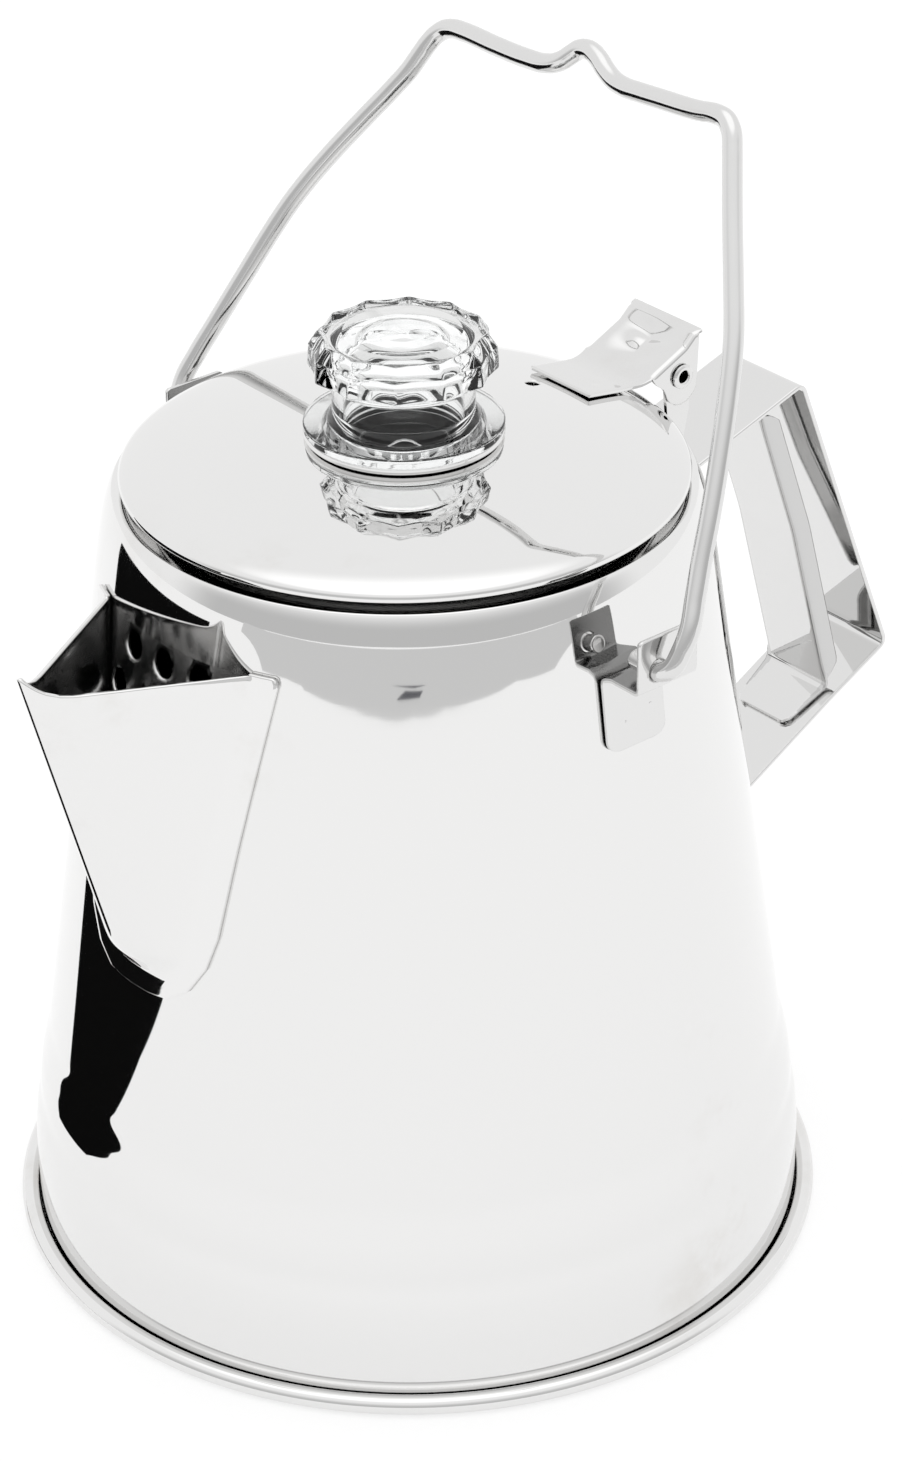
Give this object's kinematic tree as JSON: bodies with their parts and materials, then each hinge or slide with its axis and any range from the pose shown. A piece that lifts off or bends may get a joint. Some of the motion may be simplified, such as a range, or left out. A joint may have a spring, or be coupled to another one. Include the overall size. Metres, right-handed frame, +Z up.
{
  "type": "camping coffee percolator",
  "caption": "Stainless camping coffee percolator: tapered pot with pouring spout, strap handle, wire bail, hinged lid with a clear knob, and a pump with its basket inside.",
  "frame": {"origin": "centre of the base's flat underside", "axes": "+Z up along the pot's axis, +X towards the strap handle, -X towards the spout, +Y and -Y towards the two ears of the bail"},
  "size_m": [0.2613, 0.2, 0.2879],
  "materials": {
    "mirror_steel": "mirror-polished stainless steel",
    "wire_steel": "bright drawn stainless wire",
    "satin_steel": "satin stainless steel",
    "clear_resin": "clear glossy resin"
  },
  "bodies": {
    "pot": {"body_shell": "mirror_steel", "base_plate": "mirror_steel", "base_seam": "mirror_steel", "spout": "mirror_steel", "hinge_bracket": "mirror_steel", "hinge_pin": "mirror_steel", "handle_strap": "mirror_steel", "handle_grip": "mirror_steel", "bail_ear_right": "mirror_steel", "bail_ear_left": "mirror_steel"},
    "lid": {"lid_shell": "mirror_steel", "lid_skirt": "mirror_steel", "lid_hinge_leaf": "mirror_steel", "knob_seat_ring": "mirror_steel", "knob_retaining_ring": "mirror_steel"},
    "knob": {"knob": "clear_resin"},
    "bail": {"bail_wire": "wire_steel"},
    "pump": {"pump_tube": "satin_steel", "pump_bell": "satin_steel", "basket_stop": "satin_steel"},
    "basket": {"basket": "satin_steel"},
    "spreader": {"basket_spreader": "satin_steel"}
  },
  "joints": [
    {"name": "lid_hinge", "type": "hinge", "parent": "pot", "child": "lid", "pos_m": [0.0757, 0, 0.20235], "axis": [0, 1, 0], "range_deg": [0, 45]},
    {"name": "knob_twist", "type": "hinge", "parent": "lid", "child": "knob", "pos_m": [0, 0, 0.21], "axis": [0, 0, 1], "range_deg": [0, 90]},
    {"name": "bail_swing", "type": "hinge", "parent": "pot", "child": "bail", "pos_m": [0.0005, 0, 0.18065], "axis": [0, 1, 0], "range_deg": [-113, 56]},
    {"name": "pump_lift", "type": "slide", "parent": "pot", "child": "pump", "axis": [0, 0, 1], "range_m": [0, 0.004]},
    {"name": "basket_lift", "type": "slide", "parent": "pump", "child": "basket", "axis": [0, 0, 1], "range_m": [0, 0.005]},
    {"name": "spreader_lift", "type": "slide", "parent": "basket", "child": "spreader", "axis": [0, 0, 1], "range_m": [0, 0.004]}
  ]
}
